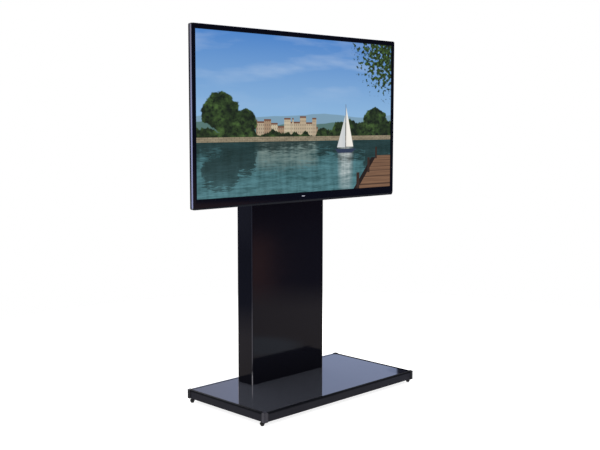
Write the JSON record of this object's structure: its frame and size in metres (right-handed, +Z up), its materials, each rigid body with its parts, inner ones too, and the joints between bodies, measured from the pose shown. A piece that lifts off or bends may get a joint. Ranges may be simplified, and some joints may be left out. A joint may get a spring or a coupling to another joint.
{
  "type": "floor stand with wall-plate mount and flat display",
  "caption": "Low framed base with an inset gloss panel and a clad box column that carries a wide flat display on hook-over arms, with a hinged service door behind.",
  "frame": {"origin": "on the floor, under the middle of the base", "axes": "+Z up; the display faces -Y; +X to the right of someone who faces the display"},
  "size_m": [1.2514, 0.504, 1.6159],
  "materials": {
    "frame_black": "satin black coating on aluminium",
    "foot_rubber": "matt black rubber",
    "zinc_steel": "zinc plated steel",
    "panel_glass": "back-painted black glass, polished",
    "steel_black": "black powder coat, fine texture",
    "gloss_black_profile": "high-gloss black lacquer",
    "gloss_black_panel": "high-gloss black sheet",
    "bezel_black": "piano black plastic",
    "screen_face": "lit display face behind a low-glare film",
    "housing_black": "fine-grained black plastic",
    "lamp_lens": "milky lamp window"
  },
  "bodies": {
    "stand": {"base_rail_front": "frame_black", "base_rail_rear": "frame_black", "base_rail_left": "frame_black", "base_rail_right": "frame_black", "corner_casting_front_left": "frame_black", "corner_casting_front_right": "frame_black", "corner_casting_rear_left": "frame_black", "corner_casting_rear_right": "frame_black", "foot_pad_front_left": "foot_rubber", "foot_pad_front_right": "foot_rubber", "foot_pad_rear_left": "foot_rubber", "foot_pad_rear_right": "foot_rubber", "cable_grommet": "foot_rubber", "rail_bolt_lower_left": "zinc_steel", "rail_bolt_lower_right": "zinc_steel", "rail_bolt_upper_left": "zinc_steel", "rail_bolt_upper_right": "zinc_steel", "hinge_frame_leaf_lower": "zinc_steel", "hinge_frame_leaf_upper": "zinc_steel", "base_top_panel": "panel_glass", "foot_stud_front_left": "steel_black", "foot_stud_front_right": "steel_black", "foot_stud_rear_left": "steel_black", "foot_stud_rear_right": "steel_black", "base_ballast_plate": "steel_black", "base_cross_member_left": "steel_black", "base_cross_member_right": "steel_black", "column_foot_plate": "steel_black", "column_upright_left": "steel_black", "column_upright_right": "steel_black", "column_upright_tie": "steel_black", "mount_rail_lower": "steel_black", "mount_rail_upper": "steel_black", "column_profile_front_left": "gloss_black_profile", "column_profile_front_right": "gloss_black_profile", "column_profile_rear_left": "gloss_black_profile", "column_profile_rear_right": "gloss_black_profile", "column_front_panel": "gloss_black_panel", "column_side_panel_left": "gloss_black_panel", "column_side_panel_right": "gloss_black_panel", "column_top_cap": "gloss_black_panel"},
    "display": {"vesa_screw_lower_left": "zinc_steel", "vesa_screw_lower_right": "zinc_steel", "vesa_screw_upper_left": "zinc_steel", "vesa_screw_upper_right": "zinc_steel", "display_backlight_tray": "zinc_steel", "mount_arm_left": "steel_black", "mount_arm_right": "steel_black", "display_bezel": "bezel_black", "display_lcd_panel": "screen_face", "display_rear_housing": "housing_black", "display_terminal_panel": "housing_black", "display_power_inlet": "housing_black", "display_lamp_window": "lamp_lens"},
    "power_button": {"display_power_button": "housing_black"},
    "door": {"hinge_door_leaf_lower": "zinc_steel", "hinge_door_leaf_upper": "zinc_steel", "door_stiffener": "steel_black", "rear_door": "gloss_black_panel"},
    "lock": {"door_lock": "zinc_steel"}
  },
  "joints": [
    {"name": "display_lift", "type": "slide", "parent": "stand", "child": "display", "axis": [0, 0, 1], "range_m": [0, 0.014]},
    {"name": "power_button_press", "type": "slide", "parent": "display", "child": "power_button", "axis": [0, 0, 1], "range_m": [0, 0.0015], "stiffness_N_per_m": 300, "springref_m": -0.002},
    {"name": "door_hinge", "type": "hinge", "parent": "stand", "child": "door", "pos_m": [0.20225, 0.2028, 0.7765], "axis": [0, 0, -1], "range_deg": [0, 110]},
    {"name": "lock_turn", "type": "hinge", "parent": "door", "child": "lock", "pos_m": [-0.176, 0.1985, 0.7], "axis": [0, -1, 0], "range_deg": [0, 90]}
  ]
}
